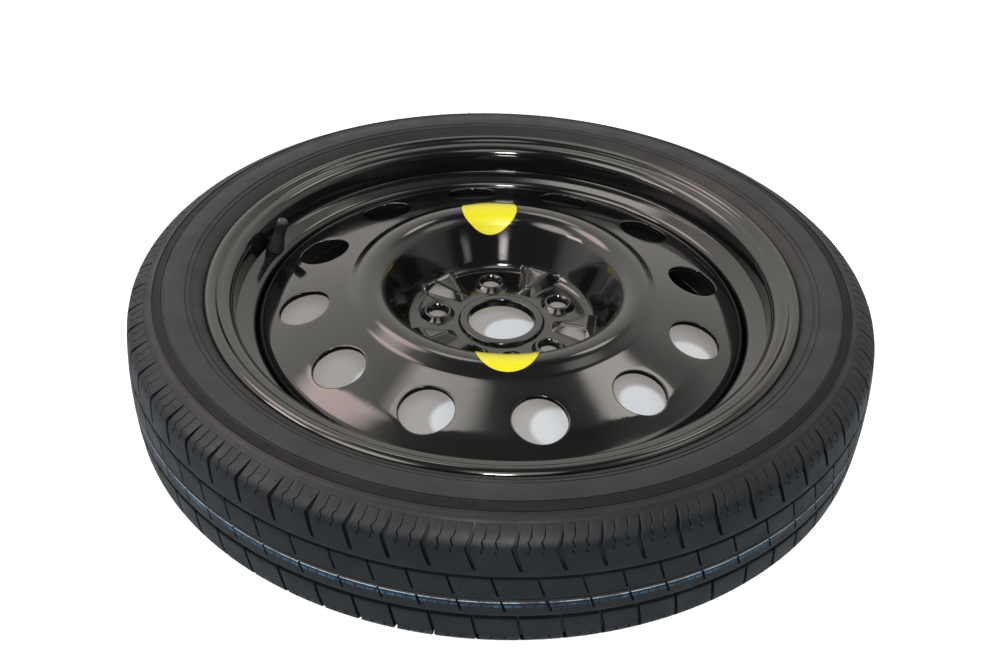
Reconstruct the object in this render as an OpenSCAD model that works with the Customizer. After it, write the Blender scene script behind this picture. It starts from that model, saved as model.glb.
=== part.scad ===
// Space saver spare wheel: a narrow steel wheel with a pressed disc, a roll-formed rim,
// a hollow tubeless tyre and a snap-in valve. It lies flat with its outer side up.
// +Z is the wheel axis. The origin is the centre of the hub bore on the mounting face.

/* [Rim] */
// Diameter of the bead seats
rim_d = 457.2; // [440:1:475]
// Width between the two flanges, on the tyre side
rim_w = 101.6; // [94:0.2:112]
// Height of a flange above its bead seat
flange_h = 18.4; // [17:0.2:20]
// Thickness of the rolled rim sheet
rim_t = 3; // [2.4:0.1:3.4]
// Depth of the drop well below the bead seats
well_depth = 17.6; // [16.5:0.2:19]
// How far the mounting face lies outboard of the rim's middle plane
wheel_offset = 4.5; // [0:0.5:8]

/* [Disc] */
// Thickness of the pressed disc
disc_t = 4.5; // [4:0.1:5]
// Radius where the flat hub plate meets the bowl wall
plate_r = 80; // [78:0.5:82]
// Height of the bowl crest corner above the mounting face
crest_h = 58.7; // [54:0.5:62]
// Radius of the rounded crest
crest_round = 18; // [14:0.5:20]
// How far the bowl wall leans out from the hub plate to the crest corner
bowl_run = 27.1; // [25.5:0.1:29]
// Distance from the crest corner out to the start of the cone
crest_run = 23.2; // [21:0.1:25]
// Distance from the skirt in to the circle of vent holes
vent_inset = 39.95; // [38:0.05:42]
// Distance from the skirt in to the end of the cone
cone_inset = 23.95; // [22:0.05:26]
// Diameter of each vent hole
vent_d = 43.6; // [36:0.2:46]
// Number of vent holes
vent_count = 12; // [8:1:12]
// Play between the disc skirt and the well floor
skirt_gap = 0.05; // [0.03:0.01:0.1]
// Height of the lower edge of the skirt
skirt_end = -9; // [-11:0.5:-6]

/* [Hub] */
// Diameter of the hub bore
bore_d = 57.1; // [54:0.1:60]
// Height of the raised collar round the bore
collar_h = 7.5; // [6.5:0.1:8.5]
// Width of that collar
collar_w = 8.45; // [7.4:0.05:9.5]
// Diameter of the bolt circle
bolt_circle_d = 112; // [108:0.5:116]
// Number of wheel bolts
bolt_count = 5; // [4:1:5]
// Diameter of each bolt hole
bolt_hole_d = 15.5; // [14:0.1:16]
// Height of the raised bolt seats above the mounting face
seat_h = 9; // [8:0.1:10]
// Height of a stiffening wedge at its outer end
wedge_h = 16; // [13:0.5:18]
// Half width of a wedge at its outer end
wedge_half = 17; // [14:0.5:18]

/* [Tyre] */
// Height of the tyre's section above the bead seats
section_h = 84.9; // [78:0.1:93]
// Width of the tyre across its sidewalls
section_w = 125; // [122:0.5:130]
// Depth of the tread grooves
groove_d = 4.5; // [3:0.1:5.5]
// Width of the two grooves that run round the tread
ring_groove_w = 4; // [3:0.1:5]
// Distance of those grooves from the middle of the tread
ring_groove_at = 19; // [16:0.5:22]
// Number of tread blocks round the tyre
pitch_count = 66; // [50:1:72]
// Width of the grooves across the shoulders
cross_groove_w = 2.4; // [1.6:0.1:3]
// Play between the beads and the rim
bead_gap = 0.1; // [0.05:0.01:0.2]

/* [Valve] */
// Azimuth of the valve
valve_az = 161; // [0:1:359]
// Diameter of the valve hole in the rim
valve_hole_d = 11.3; // [11:0.1:12]
// Height of the rubber above the rim
rubber_h = 24; // [20:0.5:28]
// Diameter of the stem's outer thread
stem_d = 7.7; // [7.2:0.1:8.2]
// Diameter of the bore that holds the valve core
core_bore_d = 4.6; // [4.2:0.1:5]
// Diameter of the valve pin
pin_d = 1.3; // [1:0.1:1.5]
// Running gap round the pin
pin_gap = 0.15; // [0.1:0.01:0.2]
// How far the pin can be pushed in
pin_travel = 1.4; // [0.8:0.1:1.6]
// Outer diameter of the cap
cap_d = 10.6; // [10:0.1:11.6]
// Play between the cap and the stem
cap_gap = 0.2; // [0.1:0.05:0.3]

/* [Labels] */
// Diameter of a round speed label
label_d = 50; // [40:1:52]
// Thickness of its vinyl
label_t = 0.3; // [0.2:0.05:0.5]
// How far inside the top of the crest the centre of the far label lies
far_label_in = 2.9; // [0:0.1:8]
// How far inside the top of the crest the centre of the near label lies
near_label_in = 11.4; // [2:0.1:14]

/* [Hidden] */
$fn = 96;
mid_z = -wheel_offset;
seat_r = rim_d / 2;
wi = rim_w / 2;
well_r = seat_r - well_depth;
well_in_r = well_r - rim_t;
skirt_r = well_in_r - skirt_gap;
well_edge = 24.5;
well_run = 15;
crest_r = plate_r + bowl_run;
crest_mid_r = crest_r + 6.8;
cone_r = crest_r + crest_run;
cone_end_r = skirt_r - cone_inset;
vent_circle_r = skirt_r - vent_inset;
crown_r = seat_r + section_h;
flange_r = seat_r + flange_h;
bore_r = bore_d / 2;
bolt_r = bolt_circle_d / 2;
half_w = section_w / 2;
taper = tan(5);
first_bolt_az = 101.2;
first_vent_az = 11.2;
well_slope = 17.4;
eps = 0.01;
paint = [0.03, 0.03, 0.032];
rubber = [0.075, 0.075, 0.08];
steel_brass = [0.75, 0.6, 0.3];

// Helpers for sheet-metal sections: a path is a list of [radius, height, corner radius]
function unit(v) = v / norm(v);
function flat(p) = [p[0], p[1]];
function cross2(u, v) = u[0] * v[1] - u[1] * v[0];
function turned(v, a) = [v[0] * cos(a) - v[1] * sin(a), v[0] * sin(a) + v[1] * cos(a)];
function corner_points(a, b, c, rad) =
    let (u = unit(a - b), v = unit(c - b))
    let (turn = acos(max(-1, min(1, -(u * v)))), side = sign(cross2(u, v)))
    let (reach = rad * tan(turn / 2), mid = b + unit(u + v) * rad / cos(turn / 2))
    let (first = b + u * reach - mid, steps = max(2, ceil(turn / 9)))
    [for (k = [0:steps]) mid + turned(first, side * -1 * turn * k / steps)];
function rounded(path) =
    [for (i = [0:len(path) - 1])
        each (i == 0 || i == len(path) - 1 || path[i][2] == 0
            ? [flat(path[i])]
            : corner_points(flat(path[i - 1]), flat(path[i]), flat(path[i + 1]), path[i][2]))];
function normal_at(pts, i) =
    let (last = len(pts) - 1)
    let (back = i == 0 ? unit(pts[1] - pts[0]) : unit(pts[i] - pts[i - 1]))
    let (on = i == last ? back : unit(pts[i + 1] - pts[i]))
    let (n = [back[1] + on[1], -back[0] - on[0]])
    n / (1 + back * on);
function shifted(pts, d) = [for (i = [0:len(pts) - 1]) pts[i] + d * normal_at(pts, i)];
function backwards(pts) = [for (i = [len(pts) - 1:-1:0]) pts[i]];
// Outline of a strip that starts d0 from the path and ends d1 from it
function strip(pts, d0, d1) = concat(shifted(pts, d0), backwards(shifted(pts, d1)));
function lifted(path, h) = [for (p = path) [p[0], p[1] + h, p[2]]];
function flipped(path) = [for (i = [len(path) - 1:-1:0]) [path[i][0], -path[i][1], path[i][2]]];

// Tyre side of the rim, from the lip to the drop well
rim_half = [
    [flange_r, wi + 2.2, 0],
    [flange_r - 3.9, wi + 5.4, 3.2],
    [seat_r + 9.5, wi, 8],
    [seat_r, wi, 6.5],
    [seat_r - 18.3 * taper, wi - 18.3, 3],
    [seat_r - 0.3, wi - 21.3, 3.6],
    [well_r + well_run, wi - well_edge, 4],
    [well_r, wi - well_edge - well_run * tan(well_slope), 4]];
rim_path = lifted(concat(rim_half, flipped(rim_half)), mid_z);
rim_line = rounded(rim_path);

// Upper face of the disc, from the bore to the lower edge of the skirt
cone_drop = tan(15.2);
vent_z = 33.5;
disc_path = [
    [bore_r, disc_t, 0],
    [plate_r, disc_t, 9],
    [crest_r, crest_h, crest_round],
    [cone_r, vent_z + (vent_circle_r - cone_r) * cone_drop, 14],
    [cone_end_r, vent_z - (cone_end_r - vent_circle_r) * cone_drop, 26],
    [skirt_r, 17.5, 15],
    [skirt_r, skirt_end, 0]];
disc_line = rounded(disc_path);

module revolve(points) {
    rotate_extrude($fn = 180) polygon(points);
}

module around(count, first = 0) {
    for (i = [0:count - 1]) rotate([0, 0, first + i * 360 / count]) children();
}

// Tyre

// Radius of a point that was drawn d below the crown on a sidewall of the usual height
usual_side_h = 66.5;
function down(d) = crown_r - d * (crown_r - flange_r) / usual_side_h;

// Outer contour of one half, from the crown to the flange, as [radius, distance from the middle]
shoulder_at = 44.5;
shoulder_drop = 3.6;
tyre_outer = [
    [crown_r, 0],
    [crown_r - 0.4, 18],
    [crown_r - 1.6, 34],
    [crown_r - shoulder_drop, shoulder_at],
    [crown_r - 8.7, half_w - 12],
    [down(16.5), half_w - 7],
    [down(24.5), half_w - 3.4],
    [down(32.5), half_w - 0.8],
    [down(43), half_w],
    [down(52), half_w - 1.2],
    [down(59.5), half_w - 4],
    [flange_r + 2.4, wi + 4.2],
    [flange_r - 0.6, wi + 0.8],
    [seat_r + 14.2, wi - 0.1]];
bead_line = rounded([
    [seat_r + 13, wi, 0],
    [seat_r, wi, 6.5],
    [seat_r - 18 * taper, wi - 18, 0]]);
tyre_inner = [
    [seat_r + 5.5, wi - 19],
    [seat_r + 12.5, wi - 9],
    [seat_r + 21, wi - 1.5],
    [down(52), half_w - 6.6],
    [down(42), half_w - 6],
    [down(30), half_w - 7.5],
    [down(20), half_w - 14],
    [crown_r - 13.5, 37],
    [crown_r - 11, 22],
    [crown_r - 10.5, 0]];
tyre_half = concat(tyre_outer, shifted(bead_line, -bead_gap), tyre_inner);

// Floor of a groove across the shoulder, as [radius below the crown, distance from the middle]
groove_floor = [[0.85, 0], [0.85, 36], [1.4, 42.5], [2.5, 48.5], [4.1, 56.4]];

// A groove from one place on the tread out over the shoulder; side is 1 or -1, lean in degrees
module shoulder_groove(az, side, from, lean, w) {
    depth = [for (p = groove_floor) [crown_r - p[0] * groove_d, side * max(p[1], from)]];
    rotate([0, 0, az])
        translate([0, 0, mid_z + side * shoulder_at])
            rotate([lean, 0, 0])
                translate([0, w / 2, -side * shoulder_at])
                    rotate([90, 0, 0])
                        linear_extrude(w)
                            polygon(concat(depth, [[crown_r + 4, side * (half_w + 3.5)], [crown_r + 4, side * from]]));
}

// A slit in the middle rows, open into the upper ring groove
module middle_slit(az, from, to, lean, w) {
    rotate([0, 0, az])
        translate([crown_r - groove_d * 0.8, 0, mid_z + (from + to) / 2])
            rotate([lean, 0, 0])
                translate([0, -w / 2, (to - from) / -2])
                    cube([groove_d + 4, w, to - from]);
}

// The blocks differ a little in length, so the places of the grooves sway round the tyre
function pitch_az(i) = (i + 0.065 * sin(i * 360 / 5.5)) * 360 / pitch_count;

module tyre() {
    floor_r = crown_r - groove_d;
    color(rubber) difference() {
        translate([0, 0, mid_z])
            revolve(concat(tyre_half, [for (p = backwards(tyre_half)) [p[0], -p[1]]]));
        for (side = [-1, 1])
            translate([0, 0, mid_z + side * ring_groove_at - ring_groove_w / 2])
                revolve([[floor_r, 0], [crown_r + 1, -0.4],
                         [crown_r + 1, ring_groove_w + 0.4], [floor_r, ring_groove_w]]);
        for (i = [0:pitch_count - 1]) {
            az = pitch_az(i) + 0.4;
            shoulder_groove(az, 1, 26, 10, cross_groove_w);
            middle_slit(az + 3.4, -13, ring_groove_at - 1, 12, cross_groove_w * 0.75);
            shoulder_groove(az + 1, -1, ring_groove_at - 1, 10, cross_groove_w * 0.9);
        }
    }
}

// Rim

valve_r = well_r + 7.5;
valve_z = mid_z + wi - well_edge - 7.5 * tan(well_slope);

// Puts its children in the valve's own frame: +Z runs out of the rim along the stem
module at_valve() {
    rotate([0, 0, valve_az])
        translate([valve_r, 0, valve_z])
            rotate([0, -well_slope, 0]) children();
}

module rim() {
    color(paint) difference() {
        revolve(strip(rim_line, 0, rim_t));
        at_valve() cylinder(h = 4 * rim_t, d = valve_hole_d, center = true);
    }
}

// Disc

// Height of a wedge's flat top at a radius, rising evenly from its inner end
wedge_in_r = 46;
wedge_out_r = plate_r - 1;
wedge_in_half = 5;
wedge_in_h = disc_t + 4;
wedge_draft = 1.5;
wedge_round = 1.8;

// One corner of a wedge: a small ball at the top edge and its foot in the plate
module wedge_corner(r, half, h) {
    out = r > bolt_r ? 1 : -1;
    for (side = [-1, 1]) {
        translate([r - out * wedge_round, side * (half - wedge_round), h - wedge_round])
            sphere(r = wedge_round, $fn = 16);
        translate([r + out * (wedge_draft - 1), side * (half + wedge_draft - 1), disc_t / 2])
            cylinder(r = 1, h = 1, $fn = 12);
    }
}

module wedge() {
    hull() {
        wedge_corner(wedge_in_r, wedge_in_half, wedge_in_h);
        wedge_corner(wedge_out_r, wedge_half, wedge_h);
    }
}

// The hollow that the press leaves under a wedge
module wedge_hollow() {
    r0 = wedge_in_r + disc_t;
    r1 = wedge_out_r - disc_t * 0.9;
    b0 = max(0.5, wedge_in_half - 2);
    b1 = wedge_half - disc_t;
    z0 = max(1, wedge_in_h - disc_t);
    z1 = wedge_h - disc_t;
    polyhedron(
        points = [[r0 - 1, -b0 - 1, -1], [r1 + 1, -b1 - 1, -1], [r1 + 1, b1 + 1, -1], [r0 - 1, b0 + 1, -1],
                  [r0, -b0, z0], [r1, -b1, z1], [r1, b1, z1], [r0, b0, z0]],
        faces = [[0, 1, 2, 3], [4, 7, 6, 5], [0, 4, 5, 1], [1, 5, 6, 2], [2, 6, 7, 3], [3, 7, 4, 0]]);
}

seat_foot_r = 14.6;
seat_lip_r = 10.8;
seat_mouth_r = 9.6;
seat_throat_z = disc_t + 1;
recess_r = 12;
recess_h = 2.5;

// The raised ring that a ball seat is pressed into
module bolt_seat() {
    translate([bolt_r, 0, 0])
        revolve(rounded([
            [0, disc_t / 2, 0],
            [seat_foot_r, disc_t / 2, 0],
            [seat_foot_r, disc_t, 0],
            [seat_lip_r + 0.6, seat_h, 1.2],
            [0, seat_h, 0]]));
}

module bolt_hole() {
    hole_r = bolt_hole_d / 2;
    translate([bolt_r, 0, 0]) {
        cylinder(h = 3 * seat_h, r = hole_r, center = true);
        revolve([[0, seat_throat_z], [hole_r, seat_throat_z], [seat_mouth_r - 0.6, seat_h - 1.2],
                 [seat_mouth_r + 0.4, seat_h + 0.1], [seat_mouth_r + 0.4, seat_h + 2], [0, seat_h + 2]]);
        revolve([[0, -1], [recess_r + 0.5, -1], [recess_r, 0], [hole_r + 0.6, recess_h], [0, recess_h]]);
    }
}

module disc() {
    collar_r = bore_r + collar_w;
    color(paint) difference() {
        union() {
            revolve(strip(disc_line, 0, disc_t));
            revolve(rounded([
                [bore_r, disc_t / 2, 0],
                [collar_r, disc_t / 2, 0],
                [collar_r, disc_t, 0],
                [collar_r - 1.2, collar_h, 1.6],
                [bore_r, collar_h, 1.8],
                [bore_r, disc_t - 0.5, 0]]));
            around(bolt_count, first_bolt_az) bolt_seat();
            around(bolt_count, first_bolt_az + 180 / bolt_count) wedge();
        }
        around(bolt_count, first_bolt_az) bolt_hole();
        around(bolt_count, first_bolt_az + 180 / bolt_count) wedge_hollow();
        around(vent_count, first_vent_az)
            translate([vent_circle_r, 0, vent_z])
                rotate([0, atan(cone_drop), 0])
                    cylinder(h = 30, d = vent_d, center = true);
    }
}

weld_leg = 4.2;
weld_span = 62;

// One of four fillet welds between the skirt's lower edge and the well floor
module weld(i) {
    z = skirt_end - eps;
    color(paint)
        rotate([0, 0, 20 + i * 90])
            rotate_extrude(angle = weld_span, $fn = 180)
                polygon([[well_in_r - eps, z], [well_in_r - weld_leg, z],
                         [well_in_r - weld_leg * 0.55, z - weld_leg * 0.65],
                         [well_in_r - eps, z - weld_leg]]);
}

// Valve, in its own frame: 0 is the tyre side of the rim sheet

stem_top = rubber_h + 11;
stem_bore_r = core_bore_d / 2;
core_top = stem_top - 1;
core_foot = stem_top - 9;
pin_r = pin_d / 2;
pin_top = stem_top - 0.4;
poppet_r = stem_bore_r - 0.4;
poppet_z = core_foot - 2.2;
spring_z = core_foot - 8;

module valve_rubber() {
    neck_r = valve_hole_d / 2 - 0.05;
    foot_r = 6.9;
    color(rubber) at_valve() revolve([
        [2.75, -6.5], [5.5, -6.5], [foot_r, -4.5], [foot_r, -0.6], [neck_r, -0.1],
        [neck_r, rim_t + 0.1], [7.6, rim_t + 0.8], [7.7, rim_t + 3], [7.2, rim_t + 6],
        [5.3, rim_t + 15], [4.8, rubber_h], [2.75, rubber_h]]);
}

module valve_stem() {
    color(steel_brass) at_valve() revolve([
        [1.6, -8], [2.7, -8], [2.7, rubber_h + 0.1], [stem_d / 2, rubber_h + 0.1],
        [stem_d / 2, stem_top - 0.5], [stem_d / 2 - 0.5, stem_top], [stem_bore_r + 0.3, stem_top],
        [stem_bore_r, stem_top - 0.4], [stem_bore_r, spring_z - 1], [1.6, spring_z - 2]]);
}

module core_body() {
    bore = pin_r + pin_gap;
    color(steel_brass) at_valve() revolve([
        [bore, core_foot], [stem_bore_r - 0.3, core_foot], [stem_bore_r - 0.3, core_top - 6.2],
        [stem_bore_r - 0.75, core_top - 6], [stem_bore_r - 0.75, core_top - 4],
        [stem_bore_r - 0.05, core_top - 3.6], [stem_bore_r - 0.05, core_top], [bore, core_top]]);
}

module core_seal() {
    color("ivory") at_valve() revolve([
        [stem_bore_r - 0.7, core_top - 5.9], [stem_bore_r - 0.05, core_top - 5.7],
        [stem_bore_r - 0.02, core_top - 4.4], [stem_bore_r - 0.7, core_top - 4.1]]);
}

// The pin with the cup that carries its seal
module core_pin() {
    color(steel_brass) at_valve() revolve([
        [0, spring_z + 0.4], [pin_r * 0.9, spring_z + 0.4], [pin_r * 0.9, poppet_z - 0.8],
        [poppet_r, poppet_z - 0.8], [poppet_r, poppet_z], [pin_r, poppet_z], [pin_r, pin_top], [0, pin_top]]);
}

module core_pin_seal() {
    color(rubber) at_valve() revolve([
        [pin_r + 0.02, poppet_z + 0.02], [poppet_r, poppet_z + 0.02],
        [poppet_r - 0.2, core_foot - 0.15], [pin_r + 0.02, core_foot - 0.15]]);
}

// A close-wound sleeve stands for the coils between the stem's step and the cup
module core_spring() {
    color("silver") at_valve() revolve([
        [pin_r + 0.35, spring_z - 0.9], [pin_r + 0.75, spring_z - 0.9],
        [pin_r + 0.75, poppet_z - 0.85], [pin_r + 0.35, poppet_z - 0.85]]);
}

cap_foot = rubber_h + 0.6;
cap_top = cap_foot + 13.2;
cap_bore_r = stem_d / 2 + cap_gap;

module valve_cap() {
    r = cap_d / 2;
    color(rubber) at_valve() revolve([
        [cap_bore_r, cap_foot], [r - 0.4, cap_foot], [r, cap_foot + 0.8], [r - 0.2, cap_top - 3.4],
        [r - 0.9, cap_top - 1.3], [r - 2.4, cap_top - 0.2], [0, cap_top],
        [0, stem_top + 1], [cap_bore_r, stem_top + 1]]);
}

module cap_seal() {
    color(rubber) at_valve() revolve([
        [0, stem_top + 0.4], [cap_bore_r - 0.05, stem_top + 0.4],
        [cap_bore_r - 0.05, stem_top + 0.98], [0, stem_top + 0.98]]);
}

// Labels, stuck over the crest of the bowl

far_label_az = 98;
near_label_az = -87;

// Plan radius of a point that lies s along the surface from a label centred at radius at_r
function along_crest(at_r, s) =
    let (turn = asin((at_r - crest_mid_r) / crest_round) + s / crest_round * 180 / PI)
    turn > 33 ? crest_mid_r + crest_round * sin(33) + (turn - 33) * crest_round * PI / 180 * cos(33)
    : turn < -63 ? crest_mid_r - crest_round * sin(63) + (turn + 63) * crest_round * PI / 180 * cos(63)
    : crest_mid_r + crest_round * sin(turn);

module label(az, at_r) {
    steps = 40;
    outline = [for (k = [0:steps - 1])
        [along_crest(at_r, label_d / 2 * sin(k * 360 / steps)), label_d / 2 * cos(k * 360 / steps)]];
    color("yellow") rotate([0, 0, az]) intersection() {
        rotate([0, 0, -20])
            rotate_extrude(angle = 40, $fn = 180)
                polygon(strip(disc_line, -label_t - 0.05, -0.05));
        translate([0, 0, disc_t + 5]) linear_extrude(crest_h) polygon(outline);
    }
}

tyre();
rim();
disc();
weld(0);  // weld_1
weld(1);  // weld_2
weld(2);  // weld_3
weld(3);  // weld_4
valve_rubber();
valve_stem();
core_body();
core_seal();
core_spring();
core_pin();
core_pin_seal();
valve_cap();
cap_seal();
label(far_label_az, crest_mid_r - far_label_in);  // label_far
label(near_label_az, crest_mid_r - near_label_in);  // label_near
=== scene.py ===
import math

import bmesh
import bpy
import numpy as np
from mathutils import Matrix, Vector


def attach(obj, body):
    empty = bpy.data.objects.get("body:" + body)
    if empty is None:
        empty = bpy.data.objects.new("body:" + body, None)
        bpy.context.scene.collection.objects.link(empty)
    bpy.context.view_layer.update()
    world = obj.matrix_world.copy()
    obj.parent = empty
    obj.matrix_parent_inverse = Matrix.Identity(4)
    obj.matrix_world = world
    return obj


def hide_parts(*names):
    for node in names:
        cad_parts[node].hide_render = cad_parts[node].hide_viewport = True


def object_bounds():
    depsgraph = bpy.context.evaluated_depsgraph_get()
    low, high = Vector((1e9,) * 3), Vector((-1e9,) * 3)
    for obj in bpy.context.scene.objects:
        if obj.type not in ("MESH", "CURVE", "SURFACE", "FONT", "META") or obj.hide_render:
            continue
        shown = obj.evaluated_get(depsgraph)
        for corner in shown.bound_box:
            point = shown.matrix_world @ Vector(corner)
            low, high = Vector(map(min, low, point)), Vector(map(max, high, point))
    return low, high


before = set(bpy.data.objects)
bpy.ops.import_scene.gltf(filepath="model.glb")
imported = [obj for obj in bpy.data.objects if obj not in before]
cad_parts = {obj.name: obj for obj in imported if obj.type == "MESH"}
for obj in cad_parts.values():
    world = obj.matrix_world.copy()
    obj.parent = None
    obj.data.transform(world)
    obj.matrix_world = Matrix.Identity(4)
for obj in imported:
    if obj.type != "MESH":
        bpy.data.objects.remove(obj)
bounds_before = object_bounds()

MM = 0.001
TAU = 2 * math.pi
scene = bpy.context.scene


# Nodes, for the materials, the hairs of the tyre and the room

def lin(hex_colour):
    """A colour written as six hex digits, in linear light."""
    parts = [int(hex_colour[i:i + 2], 16) / 255 for i in (0, 2, 4)]
    return tuple(c / 12.92 if c <= 0.04045 else ((c + 0.055) / 1.055) ** 2.4 for c in parts) + (1,)


def add(tree, kind, inputs=None, out=0, stops=(), **settings):
    """Adds a node and returns one of its outputs; inputs are sockets, values or hex colours."""
    node = tree.nodes.new(kind)
    for key, value in settings.items():
        setattr(node, key, value)
    for key, value in (inputs or {}).items():
        if isinstance(value, bpy.types.NodeSocket):
            tree.links.new(value, node.inputs[key])
        else:
            node.inputs[key].default_value = lin(value) if isinstance(value, str) else value
    if stops:
        marks = node.color_ramp.elements
        while len(marks) < len(stops):
            marks.new(1)
        for mark, (at, value) in zip(marks, stops):
            mark.position = at
            mark.color = lin(value) if isinstance(value, str) else (value, value, value, 1)
    return node.outputs[out]


def between(tree, value, low, high):
    """1 where the value lies between low and high, else 0."""
    off = add(tree, "ShaderNodeMath", {0: value, 1: (low + high) / 2}, operation="SUBTRACT")
    size = add(tree, "ShaderNodeMath", {0: off}, operation="ABSOLUTE")
    return add(tree, "ShaderNodeMath", {0: size, 1: (high - low) / 2}, operation="LESS_THAN")


def round_the_axis(tree, co):
    """Radius in millimetres, azimuth in turns and height in millimetres of a point on the wheel."""
    x, y, z = add(tree, "ShaderNodeSeparateXYZ", {"Vector": co}).node.outputs
    plan = add(tree, "ShaderNodeVectorMath", {0: co, 1: (1, 1, 0)}, operation="MULTIPLY")
    far = add(tree, "ShaderNodeVectorMath", {0: plan}, out="Value", operation="LENGTH")
    angle = add(tree, "ShaderNodeMath", {0: y, 1: x}, operation="ARCTAN2")
    return [add(tree, "ShaderNodeMath", {0: value, 1: unit}, operation="DIVIDE")
            for value, unit in ((far, MM), (angle, TAU), (z, MM))]


def waves(tree, turns, count):
    """A sine with so many waves round the wheel."""
    angle = add(tree, "ShaderNodeMath", {0: turns, 1: TAU * count}, operation="MULTIPLY")
    return add(tree, "ShaderNodeMath", {0: angle}, operation="SINE")


# Materials

def material(name, colour, rough, **extra):
    """A material, its tree, the inputs of its shader and the object coordinates in it."""
    mat = bpy.data.materials.new(name)
    mat.use_nodes = True
    mat.diffuse_color = lin(colour)
    tree = mat.node_tree
    shader = tree.nodes["Principled BSDF"].inputs
    shader["Base Color"].default_value = lin(colour)
    shader["Roughness"].default_value = rough
    for key, value in extra.items():
        shader[key.replace("_", " ")].default_value = value
    return mat, tree, shader, add(tree, "ShaderNodeTexCoord", out="Object")


def finish_with(tree, shader, sources, reliefs):
    """Links sources to the shader's inputs, and reliefs: each a height, its depth in mm and its strength."""
    for name, source in sources.items():
        tree.links.new(source, shader[name])
    normal = None
    for height, depth_mm, strength in reliefs:
        inputs = {"Height": height, "Strength": strength, "Distance": depth_mm * MM}
        if normal:
            inputs["Normal"] = normal
        normal = add(tree, "ShaderNodeBump", inputs)
    tree.links.new(normal, shader["Normal"])


def dip_painted_steel():
    """Pressed steel dipped in black paint: deep gloss with slight orange peel, and a little dust on it."""
    mat, tree, shader, co = material("dip painted steel", "0a0a0b", 0.16)
    # Sizes of the blotches in millimetres, from the sway of the gloss to the grain of the paint
    blotches, dust, orange_peel, grain = (
        add(tree, "ShaderNodeTexNoise",
            {"Vector": co, "Scale": 1 / (size * MM), "Detail": detail, "Roughness": rough})
        for size, detail, rough in ((55, 4, 0.6), (0.9, 2, 0.7), (14, 2, 0.5), (1.6, 2, 0.5)))
    gloss = add(tree, "ShaderNodeValToRGB", {"Fac": blotches}, stops=[(0.35, 0.06), (0.7, 0.13)])
    dusty = add(tree, "ShaderNodeValToRGB", {"Fac": dust}, stops=[(0.66, "0a0a0b"), (0.74, "17171a")])
    finish_with(tree, shader, {"Roughness": gloss, "Base Color": dusty},
                [(orange_peel, 0.05, 0.3), (grain, 0.006, 0.25)])
    return mat


# The sunk band below the shoulder and the ribs in it, as radii in millimetres, and the ribs in one turn
BAND_IN, BAND_OUT = 281.6, 288.4
RIBS_IN, RIBS_OUT, RIBS = 282, 288, 1080


def moulded_sidewall_rubber():
    """Black tyre rubber from its mould: dull and cloudy, with stretches of fine ribs in a darker band."""
    mat, tree, shader, co = material("moulded sidewall rubber", "131314", 0.55)
    # Sizes of the blotches in millimetres, from the stretches of ribs to the grain of the mould
    far, cloudy, patchy, dents, grain = (
        add(tree, "ShaderNodeTexNoise",
            {"Vector": co, "Scale": 1 / (size * MM), "Detail": detail, "Roughness": rough})
        for size, detail, rough in ((120, 1, 0.5), (40, 5, 0.62), (22, 4, 0.5), (9, 3, 0.6), (0.7, 3, 0.6)))
    r, turns, _ = round_the_axis(tree, co)
    sunk = between(tree, r, BAND_IN, BAND_OUT)
    black = add(tree, "ShaderNodeValToRGB", {"Fac": cloudy},
                stops=[(0.3, "111112"), (0.55, "171718"), (0.8, "1f1f20")])
    colour = add(tree, "ShaderNodeMix", {0: sunk, 6: black, 7: "0d0d10"}, out=2, data_type="RGBA")
    shine = add(tree, "ShaderNodeMath", {0: sunk, 1: -0.14, 2: 0.28}, operation="MULTIPLY_ADD")
    rough = add(tree, "ShaderNodeValToRGB", {"Fac": patchy}, stops=[(0.3, 0.44), (0.75, 0.6)])
    stretches = add(tree, "ShaderNodeValToRGB", {"Fac": far}, stops=[(0.4, 0.0), (0.46, 1.0)])
    ribs = waves(tree, turns, RIBS)
    for mask in (stretches, between(tree, r, RIBS_IN, RIBS_OUT)):
        ribs = add(tree, "ShaderNodeMath", {0: ribs, 1: mask}, operation="MULTIPLY")
    finish_with(tree, shader, {"Base Color": colour, "Roughness": rough, "Specular IOR Level": shine},
                [(ribs, 0.18, 0.8), (dents, 0.25, 0.35), (grain, 0.03, 0.5)])
    return mat


# Paint lines round the tread: lower and upper height in millimetres, colour, and how worn they are
PAINT_LINES = ((-7.8, -6.9, "93a2ae", 0.54), (-12.2, -9.7, "22506f", 0.47), (-6.2, -5.7, "4c3b34", 0.55))
# Rows of short ticks: lower and upper height in millimetres, and the ticks in one turn
TICK_ROWS = ((3.4, 7.0), (-13.6, -9.4))
TICKS = 264


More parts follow.
